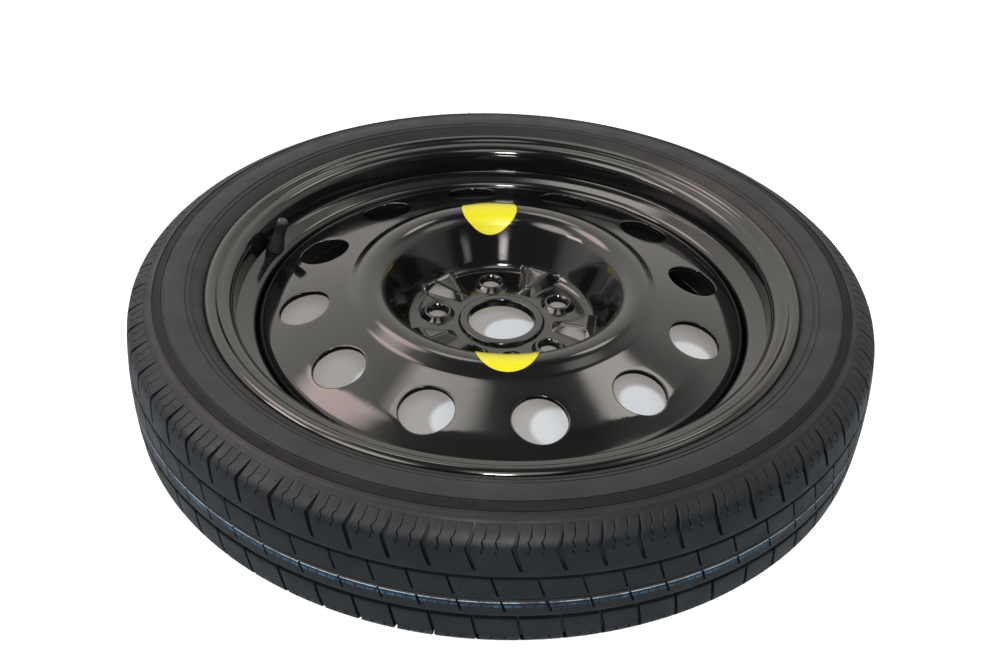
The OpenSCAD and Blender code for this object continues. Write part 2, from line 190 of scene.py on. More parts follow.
def moulded_tread_rubber():
    """Fresh tread rubber, darker and bluer than the wall, with worn paint lines and rows of short sunk ticks,
    coloured near black as painted shade in their slots.
    """
    mat, tree, shader, co = material("moulded tread rubber", "0b0d10", 0.5, Specular_IOR_Level=0.26)
    # Sizes of the blotches in millimetres, from the sway of the paint lines to the grain of the mould
    sway, cloudy, patchy, gloss, dents, worn, grain = (
        add(tree, "ShaderNodeTexNoise",
            {"Vector": co, "Scale": 1 / (size * MM), "Detail": detail, "Roughness": rough})
        for size, detail, rough in ((60, 2, 0.5), (30, 5, 0.62), (26, 3, 0.6), (18, 4, 0.5),
                                    (7, 3, 0.6), (1.4, 4, 0.75), (0.6, 3, 0.6)))
    _, turns, z = round_the_axis(tree, co)
    colour = add(tree, "ShaderNodeValToRGB", {"Fac": cloudy},
                 stops=[(0.3, "090b0e"), (0.55, "0d1013"), (0.8, "13171b")])
    at = add(tree, "ShaderNodeMath", {0: sway, 1: 0.9, 2: z}, operation="MULTIPLY_ADD")
    both = add(tree, "ShaderNodeMath", {0: worn, 1: patchy}, operation="ADD")
    wear = add(tree, "ShaderNodeMath", {0: both, 1: 0.5}, operation="MULTIPLY")
    for low, high, paint, cover in PAINT_LINES:
        kept = add(tree, "ShaderNodeValToRGB", {"Fac": wear},
                   stops=[(cover - 0.06, 1.0), (cover + 0.06, 0.12)])
        share = add(tree, "ShaderNodeMath", {0: between(tree, at, low, high), 1: kept}, operation="MULTIPLY")
        colour = add(tree, "ShaderNodeMix", {0: share, 6: colour, 7: paint}, out=2, data_type="RGBA")
    crests = add(tree, "ShaderNodeMath", {0: waves(tree, turns, TICKS), 1: 0.9}, operation="GREATER_THAN")
    upper, lower = (between(tree, z, low, high) for low, high in TICK_ROWS)
    rows = add(tree, "ShaderNodeMath", {0: upper, 1: lower}, operation="MAXIMUM")
    ticks = add(tree, "ShaderNodeMath", {0: rows, 1: crests}, operation="MULTIPLY")
    sunk = add(tree, "ShaderNodeMath", {0: ticks, 1: -1.0}, operation="MULTIPLY")
    # The ticks' near black colour is painted shade, standing for the shade inside their small slots
    colour = add(tree, "ShaderNodeMix", {0: ticks, 6: colour, 7: "030304"}, out=2, data_type="RGBA")
    rough = add(tree, "ShaderNodeValToRGB", {"Fac": gloss}, stops=[(0.3, 0.42), (0.75, 0.6)])
    finish_with(tree, shader, {"Base Color": colour, "Roughness": rough},
                [(sunk, 0.7, 1.0), (dents, 0.2, 0.3), (grain, 0.03, 0.5)])
    return mat


def plain(name, colour, rough, metallic, grain_mm, depth_mm=0.02):
    """A small piece of one colour, with a little grain and an uneven gloss."""
    mat, tree, shader, co = material(name, colour, rough, Metallic=metallic)
    patchy, grain = (
        add(tree, "ShaderNodeTexNoise",
            {"Vector": co, "Scale": 1 / (size * MM), "Detail": detail, "Roughness": fine})
        for size, detail, fine in ((grain_mm * 6, 3, 0.5), (grain_mm, 3, 0.6)))
    uneven = add(tree, "ShaderNodeValToRGB", {"Fac": patchy},
                 stops=[(0.3, max(0.05, rough - 0.07)), (0.75, min(1.0, rough + 0.08))])
    finish_with(tree, shader, {"Roughness": uneven}, [(grain, depth_mm, 0.5)])
    return mat


MATERIALS = {
    "paint": dip_painted_steel(),
    "rubber": moulded_sidewall_rubber(),
    "tread": moulded_tread_rubber(),
    # Turned brass, dulled by air: warm yellow with a soft shine
    "brass": plain("turned brass", "b8924a", 0.3, 1.0, 0.8),
    # Moulded nylon: black and half dull, with the fine grain of its mould
    "cap": plain("moulded black nylon", "101011", 0.42, 0.0, 0.6),
    # Moulded rubber: black and more dull than the cap
    "valve rubber": plain("moulded valve rubber", "161617", 0.55, 0.0, 0.7),
    # Pressed sealing ring: cream coloured and smooth
    "seal": plain("pressed sealing ring", "cfc8b4", 0.5, 0.0, 0.5),
    # Drawn wire: bright grey
    "spring": plain("drawn spring steel", "8c8c90", 0.3, 1.0, 0.5),
    # Cut film: a flat, clear yellow with an even sheen
    "vinyl": plain("cut yellow vinyl film", "bdb20a", 0.34, 0.0, 2.0, 0.01),
}
FINISH = {
    "tyre": "rubber", "rim": "paint", "disc": "paint",
    "weld_1": "paint", "weld_2": "paint", "weld_3": "paint", "weld_4": "paint",
    "valve_rubber": "valve rubber", "valve_stem": "brass", "valve_cap": "cap", "cap_seal": "valve rubber",
    "core_body": "brass", "core_seal": "seal", "core_spring": "spring", "core_pin": "brass",
    "core_pin_seal": "valve rubber", "label_far": "vinyl", "label_near": "vinyl",
}
for name, finish in FINISH.items():
    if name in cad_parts:
        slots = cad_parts[name].data.materials
        slots.clear()
        slots.append(MATERIALS[finish])


# Profiles of the sheet metal and the tyre, in millimetres, as in the part's drawing

def rounded(path, step_deg=6.0):
    """Corner points [radius, height, fillet] turned into a polyline, its fillets in steps of some degrees."""
    pts = []
    for i, (r, z, f) in enumerate(path):
        b = Vector((r, z))
        if i in (0, len(path) - 1) or f == 0:
            pts.append(b)
            continue
        u = (Vector(path[i - 1][:2]) - b).normalized()
        v = (Vector(path[i + 1][:2]) - b).normalized()
        turn = math.acos(max(-1, min(1, -u.dot(v))))
        side = 1 if u.x * v.y - u.y * v.x > 0 else -1
        mid = b + (u + v).normalized() * f / math.cos(turn / 2)
        first = b + u * f * math.tan(turn / 2) - mid
        steps = max(2, math.ceil(math.degrees(turn) / step_deg))
        for k in range(steps + 1):
            a = -side * turn * k / steps
            pts.append(mid + Vector((first.x * math.cos(a) - first.y * math.sin(a),
                                     first.x * math.sin(a) + first.y * math.cos(a))))
    return pts


def shifted(pts, d):
    """The polyline moved sideways by d, to the right of its direction."""
    res = []
    for i, p in enumerate(pts):
        back = (pts[i] - pts[i - 1]).normalized() if i else (pts[1] - pts[0]).normalized()
        on = (pts[i + 1] - pts[i]).normalized() if i < len(pts) - 1 else back
        n = Vector((back.y + on.y, -back.x - on.x)) / (1 + back.dot(on))
        res.append(p + d * n)
    return res


def lathe(name, outline, columns, mat, sharp_deg=35):
    """A closed outline [(radius, height)] in millimetres turned round the wheel's axis."""
    verts, faces = [], []
    n = len(outline)
    for k in range(columns):
        a = TAU * k / columns
        verts += [(r * MM * math.cos(a), r * MM * math.sin(a), z * MM) for r, z in outline]
    for k in range(columns):
        k2 = (k + 1) % columns
        for i in range(n):
            j = (i + 1) % n
            faces.append((k * n + i, k2 * n + i, k2 * n + j, k * n + j))
    return solid(name, verts, faces, mat, sharp_deg)


def solid(name, verts, faces, mat, sharp_deg=35, weld=0.0):
    """A mesh object with outward faces, smooth but for its sharp edges."""
    mesh = bpy.data.meshes.new(name)
    mesh.from_pydata(verts, [], faces)
    bm = bmesh.new()
    bm.from_mesh(mesh)
    if weld:
        bmesh.ops.remove_doubles(bm, verts=bm.verts, dist=weld * MM)
    bmesh.ops.recalc_face_normals(bm, faces=bm.faces)
    for e in bm.edges:
        if len(e.link_faces) == 2 and e.calc_face_angle(0) > math.radians(sharp_deg):
            e.smooth = False
    for f in bm.faces:
        f.smooth = True
    bm.to_mesh(mesh)
    bm.free()
    o = bpy.data.objects.new(name, mesh)
    mesh.materials.append(mat)
    scene.collection.objects.link(o)
    return o


def joined(name, parts):
    """Several mesh objects as one."""
    bm = bmesh.new()
    mats = []
    for o in parts:
        start = len(bm.faces)
        slots = []
        for m in o.data.materials:
            if m not in mats:
                mats.append(m)
            slots.append(mats.index(m))
        bm.from_mesh(o.data)
        bm.faces.ensure_lookup_table()
        for f in bm.faces[start:]:
            f.material_index = slots[f.material_index]
    mesh = bpy.data.meshes.new(name)
    bm.to_mesh(mesh)
    bm.free()
    for m in mats:
        mesh.materials.append(m)
    for o in parts:
        old = o.data
        bpy.data.objects.remove(o)
        bpy.data.meshes.remove(old)
    o = bpy.data.objects.new(name, mesh)
    scene.collection.objects.link(o)
    return o


# Tyre: a turned carcass whose tread lies at the depth of the grooves, with a block between every two grooves

MID_Z = -4.5
SEAT_R, FLANGE_H, HALF_RIM = 228.6, 18.4, 50.8
CROWN, HALF_TYRE = 313.5, 62.5
GROOVE = 4.5
# Pitches of the tread in one turn, and how far and how often they sway
PITCHES, SWAY, SWAY_PITCHES = 66, 0.065, 5.5
# Soft edge of a block, how far it drops there, and how far the block's foot stands in the carcass
SOFT_EDGE, SOFT_DROP, FOOT_SINK = 0.35, 0.3, 0.6
# Columns of faces across a block, and of the carcass round the wheel
BLOCK_COLUMNS, CARCASS_COLUMNS = 4, PITCHES * 6
# The radius from which the carcass is tread rubber
TREAD_FROM = CROWN - 19
DEG_PER_MM = 180 / math.pi / CROWN

# Drop below the crown and distance from the middle: over the tread and the shoulder, then down the wall
crown_side = [(0, 0), (0.05, 9), (0.4, 18), (0.9, 26), (1.6, 34), (2.4, 40), (3.6, 44.5), (5.6, 47.6),
              (8.7, 50.5), (12.4, 53.2), (16.5, 55.5)]
wall_side = [(20.4, 57.5), (24.5, 59.1), (28.5, 60.7), (32.5, 61.7), (37.5, 62.3), (43, 62.5), (48, 62.1),
             (52, 61.3), (56, 60.1), (59.5, 58.5)]
# The grooves' floor: from and to a distance from the middle, and its drop at both
groove_floor = [(0, 36, GROOVE, GROOVE + 0.9), (36, 42.5, GROOVE + 0.9, 6.8), (42.5, 48.5, 6.8, 11.5),
                (48.5, 55.5, 11.5, 17.2)]


def drop_at(v):
    """How far the tread surface lies below the crown at a distance v from the middle."""
    v = abs(v)
    for (d0, v0), (d1, v1) in zip(crown_side, crown_side[1:]):
        if v <= v1:
            return d0 + (d1 - d0) * (v - v0) / (v1 - v0)
    return crown_side[-1][0]


def floor_drop(v):
    """The same for the floor of the grooves, which runs out at the foot of the shoulder."""
    v = abs(v)
    for v0, v1, d0, d1 in groove_floor:
        if v <= v1:
            return d0 + (d1 - d0) * (v - v0) / (v1 - v0)
    return groove_floor[-1][3]


def pitch_az(i):
    """Azimuth at which a pitch of the tread starts."""
    return (i + SWAY * math.sin(math.radians(i * 360 / SWAY_PITCHES))) * 360 / PITCHES


class Blocks:
    """Collects the blocks of the tread as closed pieces that stand on the floor of the grooves."""

    def __init__(self):
        self.verts, self.faces = [], []

    def point(self, az, v, depth):
        """A point at an azimuth, a distance from the middle and a depth below the crown."""
        r = (CROWN - depth) * MM
        a = math.radians(az)
        return (r * math.cos(a), r * math.sin(a), (MID_Z + v) * MM)

    def add(self, v_list, left, right, soft_left=True, soft_right=True, soft_low=False, soft_high=False):
        """left and right give the azimuth of the block's sides at each v; soft edges are rounded over."""
        cols = BLOCK_COLUMNS
        base = len(self.verts)
        n = cols + 1
        for j, v in enumerate(v_list):
            a0, a1 = left(v), right(v)
            span = a1 - a0
            edge = min(SOFT_EDGE * DEG_PER_MM, span * 0.2)
            azs = [a0, a0 + edge] + [a0 + span * k / (cols - 2) for k in range(1, cols - 2)] + [a1 - edge, a1]
            for i, az in enumerate(azs):
                low = 0.0
                if (i == 0 and soft_left) or (i == cols and soft_right):
                    low = SOFT_DROP
                if (j == 0 and soft_low) or (j == len(v_list) - 1 and soft_high):
                    low = SOFT_DROP
                self.verts.append(self.point(az, v, drop_at(v) + low))
        m = len(v_list)
        for j in range(m - 1):
            for i in range(cols):
                a = base + j * n + i
                self.faces.append((a, a + 1, a + n + 1, a + n))
        ring = ([base + i for i in range(cols)]
                + [base + j * n + cols for j in range(m - 1)]
                + [base + (m - 1) * n + i for i in range(cols, 0, -1)]
                + [base + j * n for j in range(m - 1, 0, -1)])
        foot = len(self.verts)
        for q in ring:
            v = v_list[(q - base) // n]
            x, y, _ = self.verts[q]
            az = math.degrees(math.atan2(y, x))
            self.verts.append(self.point(az, v, max(floor_drop(v), drop_at(v)) + FOOT_SINK))
        k = len(ring)
        for i in range(k):
            self.faces.append((ring[i], foot + i, foot + (i + 1) % k, ring[(i + 1) % k]))
        self.faces.append(tuple(foot + i for i in range(k)))


def line(*points):
    """A polyline of (v, degrees) as a function of v."""
    pts = sorted(points)

    def at(v):
        for (v0, a0), (v1, a1) in zip(pts, pts[1:]):
            if v <= v1:
                return a0 + (a1 - a0) * (v - v0) / (v1 - v0)
        return pts[-1][1]
    return at


def cells(blocks, v_list, cuts, **kw):
    """Blocks all round the tyre; a pitch has cuts, each degrees and a width in mm as functions of v."""
    for i in range(PITCHES):
        here, there = pitch_az(i), pitch_az(i + 1)
        edges = [(here, c, w) for c, w in cuts] + [(there, cuts[0][0], cuts[0][1])]
        for (a0, c0, w0), (a1, c1, w1) in zip(edges, edges[1:]):
            blocks.add(v_list, lambda v, a=a0, c=c0, w=w0: a + c(v) + w(v) / 2 * DEG_PER_MM,
                       lambda v, a=a1, c=c1, w=w1: a + c(v) - w(v) / 2 * DEG_PER_MM, **kw)


def rib(blocks, v_list, **kw):
    """A rib without cuts, made of long pieces that touch."""
    for i in range(PITCHES):
        a0, a1 = pitch_az(i), pitch_az(i + 1)
        blocks.add(v_list, lambda v: a0, lambda v: a1, soft_left=False, soft_right=False, **kw)


def wall_at(r):
    """Distance of the plain sidewall from the middle at a radius."""
    return float(np.interp(CROWN - r, [d for d, _ in wall_side], [v for _, v in wall_side]))


# Radii down the sidewall, and how far each lies above the plain wall: thin moulded lines and a sunk band
wall_rings = [(293.1, 0), (291.5, 0), (290.4, 0), (290.2, 0.35), (289.6, 0.35), (289.3, -0.8), (288.4, -0.8),
              (288.1, -0.3), (282.2, -0.3), (281.9, -0.8), (281.0, -0.8), (280.7, 0.25), (280.1, 0.25),
              (279.9, 0), (273, 0), (268, 0), (263.4, 0), (263.1, -0.6), (262.3, -0.6), (262.0, 0),
              (259.2, 0), (258.9, -0.7), (257.6, -0.7), (257.3, 0), (254.0, 0)]


def tyre_outline():
    """The carcass: tread at the floor of the grooves, sidewalls, beads and the hollow inside."""
    tread = [(CROWN - floor_drop(v), v) for v in (0, 12, 24, 36, 39, 42.5, 45.5, 48.5, 52, 55.5)]
    outer = tread + [(r, wall_at(r) + step) for r, step in wall_rings]
    outer += [(SEAT_R + FLANGE_H + 2.4, HALF_RIM + 4.2), (SEAT_R + FLANGE_H - 0.6, HALF_RIM + 0.8),
              (SEAT_R + 14.2, HALF_RIM - 0.1)]
    t = math.tan(math.radians(5))
    bead = shifted(rounded([(SEAT_R + 13, HALF_RIM, 0), (SEAT_R, HALF_RIM, 6.5),
                            (SEAT_R - 18 * t, HALF_RIM - 18, 0)]), -0.1)
    inner = [(SEAT_R + 5.5, HALF_RIM - 19), (SEAT_R + 12.5, HALF_RIM - 9), (SEAT_R + 21, HALF_RIM - 1.5),
             (CROWN - 52, HALF_TYRE - 6.6), (CROWN - 42, HALF_TYRE - 6), (CROWN - 30, HALF_TYRE - 7.5),
             (CROWN - 20, HALF_TYRE - 14), (CROWN - 13.5, 37), (CROWN - 11, 22), (CROWN - 10.5, 0)]
    half = outer + [(p.x, p.y) for p in bead] + inner
    other = [(r, -v) for r, v in reversed(half)]
    loop = half + other[1:-1]
    return [(r, MID_Z + v) for r, v in loop]


def make_tyre():
    """The tyre: its carcass in two rubbers, and the tread's rows from the upper shoulder to the lower."""
    carcass = lathe("carcass", tyre_outline(), CARCASS_COLUMNS, MATERIALS["rubber"], 28)
    carcass.data.materials.append(MATERIALS["tread"])
    for face in carcass.data.polygons:
        if math.hypot(face.center.x, face.center.y) > TREAD_FROM * MM:
            face.material_index = 1
    b = Blocks()
    # Upper shoulder row: a rib beside the ring groove, then blocks that reach over the shoulder
    rib(b, [21, 22, 24, 26], soft_low=True)
    g_up = line((26, 0.95), (30, 0.65), (44, -0.15), (50.5, 0.35), (55.5, 0.6))
    wide = line((26, 2.2), (30, 2.9), (44, 3.7), (48, 2.8), (55.5, 1.2))
    thin = line((-55.5, 0.6), (-40, 0.9), (40, 0.9), (55.5, 0.6))
    cells(b, [26, 28, 30, 33, 36, 40], [(g_up, wide)])
    high = [40, 42, 44, 46, 48.2, 50.5, 53.2, 55.5]
    s_up = [line((40, k + 0.08), (42, k - 0.14), (44, k + 0.2), (48.2, k - 0.12), (50.5, k + 0.3),
                 (55.5, k + 0.5)) for k in (1.75, 3.5)]
    cells(b, high, [(g_up, wide), (s_up[0], thin), (s_up[1], thin)])
    # Middle rows, on both sides of the split line
    slit = line((-20, 1.7), (20, 1.7))
    m_up = line((2.5, 4.0), (18.4, 3.1))
    cells(b, [2.5, 6, 10, 14, 17, 18.4], [(m_up, slit)], soft_high=True)
    rib(b, [0.25, 1.5, 2.5], soft_low=True)
    rib(b, [-1.2, -0.7, -0.25], soft_high=True)
    m_low = line((-13, 5.0), (-1.2, 4.3))
    cells(b, [-13, -10, -6, -3, -1.2], [(m_low, slit)])
    rib(b, [-16.9, -16, -14.5, -13], soft_low=True)
    # Lower shoulder row, open into the ring groove
    g_low = line((-55.5, 1.0), (-50, 1.25), (-44, 1.65), (-20.9, 0.8))
    wide_low = line((-55.5, 0.9), (-48, 2.2), (-44, 2.8), (-20.9, 2.2))
    cells(b, [-40, -36, -32, -28, -24, -22, -20.9], [(g_low, wide_low)], soft_high=True)
    s_low = [line((-55.5, k + 1.2), (-50.5, k + 1.4), (-48.2, k + 1.75), (-44, k + 1.4), (-42, k + 1.75),
                  (-40, k + 1.5)) for k in (1.75, 3.5)]
    cells(b, [-v for v in reversed(high)], [(g_low, wide_low), (s_low[0], thin), (s_low[1], thin)])
    tread = solid("blocks", b.verts, b.faces, MATERIALS["tread"], 24)
    return joined("tyre_with_tread", [carcass, tread])


def hair_tree():
    """Geometry Nodes: short hairs on a share of the points of a circle, each with a lean of its own."""
    tree = bpy.data.node_groups.new("spew hairs", "GeometryNodeTree")
    sockets = {}
    tree.interface.new_socket("Geometry", in_out="INPUT", socket_type="NodeSocketGeometry")
    for label, kind in (("Points", "Int"), ("Radius", "Float"), ("Height", "Float"), ("Length", "Float"),
                        ("Lean", "Float"), ("Share", "Float"), ("Seed", "Int"), ("Material", "Material")):
        item = tree.interface.new_socket(label, in_out="INPUT", socket_type="NodeSocket" + kind)
        sockets[label] = item.identifier
    tree.interface.new_socket("Geometry", in_out="OUTPUT", socket_type="NodeSocketGeometry")
    given = tree.nodes.new("NodeGroupInput").outputs
    circle = add(tree, "GeometryNodeMeshCircle", {"Vertices": given["Points"], "Radius": given["Radius"]})
    lift = add(tree, "ShaderNodeCombineXYZ", {"Z": given["Height"]})
    placed = add(tree, "GeometryNodeSetPosition", {"Geometry": circle, "Offset": lift})
    chosen = add(tree, "FunctionNodeRandomValue", {"Probability": given["Share"], "Seed": given["Seed"]},
                 out=3, data_type="BOOLEAN")
    hair = add(tree, "GeometryNodeMeshCone",
               {"Vertices": 6, "Radius Top": 0.15 * MM, "Radius Bottom": 0.32 * MM, "Depth": given["Length"]})
    place = add(tree, "GeometryNodeInputPosition")
    plan = add(tree, "ShaderNodeVectorMath", {0: place, 1: (1, 1, 0)}, operation="MULTIPLY")
    unit = add(tree, "ShaderNodeVectorMath", {0: plan}, operation="NORMALIZE")
    outward = add(tree, "ShaderNodeVectorMath", {0: unit, "Scale": given["Lean"]}, operation="SCALE")
    wobble = add(tree, "FunctionNodeRandomValue",
                 {0: (-0.35, -0.35, 0.8), 1: (0.35, 0.35, 1.2), "Seed": given["Seed"]},
                 data_type="FLOAT_VECTOR")
    way = add(tree, "ShaderNodeVectorMath", {0: outward, 1: wobble}, operation="ADD")
    turn = add(tree, "FunctionNodeAlignRotationToVector", {"Vector": way}, axis="Z")
    spread = add(tree, "GeometryNodeInstanceOnPoints",
                 {"Points": placed, "Selection": chosen, "Instance": hair, "Rotation": turn})
    real = add(tree, "GeometryNodeRealizeInstances", {"Geometry": spread})
    done = add(tree, "GeometryNodeSetMaterial", {"Geometry": real, "Material": given["Material"]})
    result = tree.nodes.new("NodeGroupOutput")
    tree.links.new(done, result.inputs["Geometry"])
    return tree, sockets


# Circles of hairs: radius, height and length in millimetres, places on the circle, share of them used, seed
HAIRS = ((302.2, 48.6, 2.4, 132, 0.45, 3), (291.9, 53.1, 2.0, 66, 0.4, 5), (270.5, 57.4, 0.55, 60, 0.3, 8))


def spew_hairs():
    """Hairs that the vents of the mould leave: a few on the shoulder and fewer on the sidewall."""
    tree, sockets = hair_tree()
    parts = []
    for radius, height, length, points, share, seed in HAIRS:
        base = bpy.data.objects.new("hair base", bpy.data.meshes.new("hair base"))
        scene.collection.objects.link(base)
        modifier = base.modifiers.new("hairs", "NODES")
        modifier.node_group = tree
        values = {"Points": points, "Radius": radius * MM, "Height": height * MM, "Length": length * MM,
                  "Lean": 1.1, "Share": share, "Seed": seed, "Material": MATERIALS["rubber"]}
        for label, value in values.items():
            modifier[sockets[label]] = value
        graph = bpy.context.evaluated_depsgraph_get()
        mesh = bpy.data.meshes.new_from_object(base.evaluated_get(graph))
        base.modifiers.remove(modifier)
        base.data = mesh
        parts.append(base)
    return joined("spew_hairs", parts)


tyre = make_tyre()
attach(tyre, "wheel")
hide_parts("tyre")
hairs = spew_hairs()
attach(hairs, "wheel")


# Disc: one pressed sheet, built as patches round every hole, seat and wedge so that each edge is crisp

DISC_T, PLATE_R, BORE_R = 4.5, 80, 28.55
VENTS, VENT_R, VENT_HOLE, VENT_Z, SLOPE = 12, 168, 21.8, 33.5, math.radians(15.2)
VENT_IN, VENT_OUT = 138.0, 200.0
WELL_DEPTH, RIM_T, SKIRT_PLAY = 17.6, 3, 0.05
SKIRT_R = SEAT_R - WELL_DEPTH - RIM_T - SKIRT_PLAY
BOLTS, BOLT_R, HOLE_R, SEAT_H = 5, 56, 7.75, 9.0
BOLT_AZ, VENT_AZ = 101.2, 11.2
COLLAR_R = 38.6

# Radii of the rows across the hub plate: the inner ones carry the seats, the outer ones the bowl's foot
INNER_RADII = [COLLAR_R + (74.4 - COLLAR_R) * k / 9 for k in range(10)]
OUTER_RADII = [75.8, 77.2, 78.6, 80, 81.4, 82.8, 84.8, 87]

# Ball seats, from their foot to the hole: radius from the bolt's axis and height, or None for on the sheet
SEAT_TOP = ((15.5, None), (14.95, 4.58), (14.5, 4.95), (12.1, 8.25), (11.75, 8.65), (11.3, SEAT_H - 0.1),
            (10.8, SEAT_H), (10.1, SEAT_H), (9.75, SEAT_H - 0.1), (9.45, 8.6), (8.05, 5.95), (7.8, 5.5),
            (HOLE_R, 5.2), (HOLE_R, 4.0))
SEAT_BACK = ((12.7, None), (12.15, 0.08), (11.85, 0.35), (8.4, 2.4), (7.95, 2.65), (HOLE_R, 2.95),
             (HOLE_R, 4.0))

# Wedges: plan outline as inner radius and half width there, outer radius and half width there
WEDGE_IN, WEDGE_IN_HALF, WEDGE_OUT, WEDGE_OUT_HALF = 46.0, 5.0, 79.0, 17.0
WEDGE_CENTRE, WEDGE_LOW, WEDGE_HIGH = (68.0, 0.0), 8.5, 16
# Rows of a wedge: how far out from that outline, and how far over the sheet, below the wedge's top, or on the
# back below the inside of that top
WEDGE_TOP = ((2.4, "sheet", 0), (1.9, "sheet", 0.2), (1.3, "sheet", 0.8), (-3.6, "top", 1.6),
             (-4.1, "top", 0.9), (-4.6, "top", 0.45), (-5.2, "top", 0.15), (-5.9, "top", 0.05),
             (-7.0, "top", 0.4), (-8.4, "top", 0.6))
WEDGE_BACK = ((-1.2, "sheet", 0), (-1.9, "sheet", 0.15), (-2.4, "sheet", 0.6), (-4.0, "back", 1.3),
              (-4.6, "back", 0.6), (-5.6, "back", 0.5), (-8.0, "back", 0.7))

# Rolled edge of a vent hole: how far each row lies out from the hole's radius and down its wall
VENT_EDGE = ((0.75, 0.05), (0.35, 0.2), (0.1, 0.5), (0, 0.9))

drop = math.tan(SLOPE)
disc_path = rounded([
    (BORE_R, DISC_T, 0), (PLATE_R, DISC_T, 9), (107.1, 58.7, 18), (VENT_R - 37.7, VENT_Z + 37.7 * drop, 14),
    (VENT_R + 16, VENT_Z - 16 * drop, 26), (SKIRT_R, 17.5, 15), (SKIRT_R, -9, 0)], 4.5)
disc_under = shifted(disc_path, DISC_T)


def height_on(pts):
    """Height of a polyline as a function of its radius, for the part that runs outwards."""
    rs, zs = [], []
    for q in pts:
        if not rs or q.x > rs[-1] + 1e-6:
            rs.append(q.x)
            zs.append(q.y)
    return lambda r: float(np.interp(r, rs, zs))


top_z, under_z = height_on(disc_path), height_on(disc_under)


class Sheet:
    """Collects faces of one surface; points that coincide are merged at the end."""

    def __init__(self):
        self.verts, self.faces = [], []

    def ring(self, pts):
        """Adds a row of points in millimetres and gives their numbers."""
        base = len(self.verts)
        self.verts += [(x * MM, y * MM, z * MM) for x, y, z in pts]
        return list(range(base, base + len(pts)))

    def bridge(self, a, b, closed=True):
        """Faces between two rows of points."""
        n = len(a)
        for i in range(n if closed else n - 1):
            j = (i + 1) % n
            self.faces.append((a[i], a[j], b[j], b[i]))

    def stack(self, rows, az):
        """Rows one inside the other, turned to their azimuth and joined; gives the numbers of the last."""
        ids = [self.ring(spin(row, az)) for row in rows]
        for a, b in zip(ids, ids[1:]):
            self.bridge(a, b)
        return ids[-1]

    def turned(self, pts, az0, az1):
        """Sweeps the polyline [(r, z)] from az0 to az1 in steps of a degree."""
        n = round(az1 - az0)
        rows = []
        for k in range(n + 1):
            a = math.radians(az0 + (az1 - az0) * k / n)
            rows.append(self.ring([(r * math.cos(a), r * math.sin(a), z) for r, z in pts]))
        for a, b in zip(rows, rows[1:]):
            self.bridge(a, b, closed=False)


def sector_border(half_deg, stations):
    """Plan points round a polar rectangle with its middle at azimuth 0, a degree apart on its arcs."""
    n = round(2 * half_deg)
    degs = [-half_deg + k for k in range(n + 1)]
    pts = [(stations[0], d) for d in degs]
    pts += [(r, half_deg) for r in stations[1:]]
    pts += [(stations[-1], d) for d in reversed(degs[:-1])]
    pts += [(r, -half_deg) for r in reversed(stations[1:-1])]
    return [(r * math.cos(math.radians(d)), r * math.sin(math.radians(d))) for r, d in pts]


def spin(pts, az):
    """Points turned round the wheel's axis."""
    cos_az, sin_az = math.cos(math.radians(az)), math.sin(math.radians(az))
    return [(x * cos_az - y * sin_az, x * sin_az + y * cos_az, z) for x, y, z in pts]


def unit2(x, y):
    """A plan direction made one long."""
    d = math.hypot(x, y)
    return x / d, y / d


def rows_in(border, foot, surface, count):
    """Rows on the sheet from a sector's border in to the foot of what stands in it."""
    rows = []
    for k in range(count):
        t = 1 - k / count
        row = []
        for (x0, y0, _), (x1, y1) in zip(foot, border):
            x, y = (x0 + (x1 - x0) * t, y0 + (y1 - y0) * t) if k else (x1, y1)
            row.append((x, y, surface(math.hypot(x, y))))
        rows.append(row)
    return rows


def rows_round(border, centre, rings, surface):
    """Rows round a centre; a ring gives its reach in a direction, and its height or None for on the sheet."""
    cx, cy = centre
    rows = []
    for ring in rings:
        row = []
        for bx, by in border:
            ux, uy = unit2(bx - cx, by - cy)
            reach, z = ring(ux, uy)
            x, y = cx + ux * reach, cy + uy * reach
            row.append((x, y, surface(math.hypot(x, y)) if z is None else z))
        rows.append(row)
    return rows


def seat_sector(sheet, az, surface, profile):
    """The hub plate round one bolt: its ball seat, and the plate out to the bowl."""
    border = sector_border(18, INNER_RADII)
    rings = [lambda ux, uy, a=a, z=z: (a, z) for a, z in profile]
    seat = rows_round(border, (BOLT_R, 0), rings, surface)
    sheet.stack(rows_in(border, seat[0], surface, 3) + seat, az)
    sheet.turned([(r, surface(r)) for r in [INNER_RADII[-1]] + OUTER_RADII], az - 18, az + 18)


def wedge_reach(off, squareness=14):
    """Distance from a wedge's centre to its outline, moved out by off, with rounded corners."""
    lean = math.atan2(WEDGE_OUT_HALF - WEDGE_IN_HALF, WEDGE_OUT - WEDGE_IN)
    side = -math.sin(lean) * WEDGE_IN + math.cos(lean) * WEDGE_IN_HALF + off
    planes = [((-1, 0), -WEDGE_IN + off), ((1, 0), WEDGE_OUT + off),
              ((-math.sin(lean), math.cos(lean)), side), ((-math.sin(lean), -math.cos(lean)), side)]
    cx, cy = WEDGE_CENTRE

    def reach(ux, uy):
        total = 0.0
        for (nx, ny), d in planes:
            along = nx * ux + ny * uy
            if along > 1e-9:
                total += ((d - nx * cx - ny * cy) / along) ** -squareness
        return total ** (-1 / squareness)
    return reach


def wedge_height(x):
    """Height of a wedge's top, which rises outwards from the bore."""
    return WEDGE_LOW + (WEDGE_HIGH - WEDGE_LOW) * (x - WEDGE_IN) / (WEDGE_OUT - WEDGE_IN)


def wedge_ring(off, kind, amount, surface):
    """One row of a wedge, as a function from a plan direction to its reach and height."""
    reach = wedge_reach(off)

    def ring(ux, uy):
        d = reach(ux, uy)
        x, y = WEDGE_CENTRE[0] + ux * d, WEDGE_CENTRE[1] + uy * d
        base = surface(math.hypot(x, y))
        if kind == "sheet":
            return d, base + amount
        if kind == "top":
            return d, max(base, wedge_height(x) - amount)
        return d, max(base + 0.05, wedge_height(x) - DISC_T - amount)
    return ring


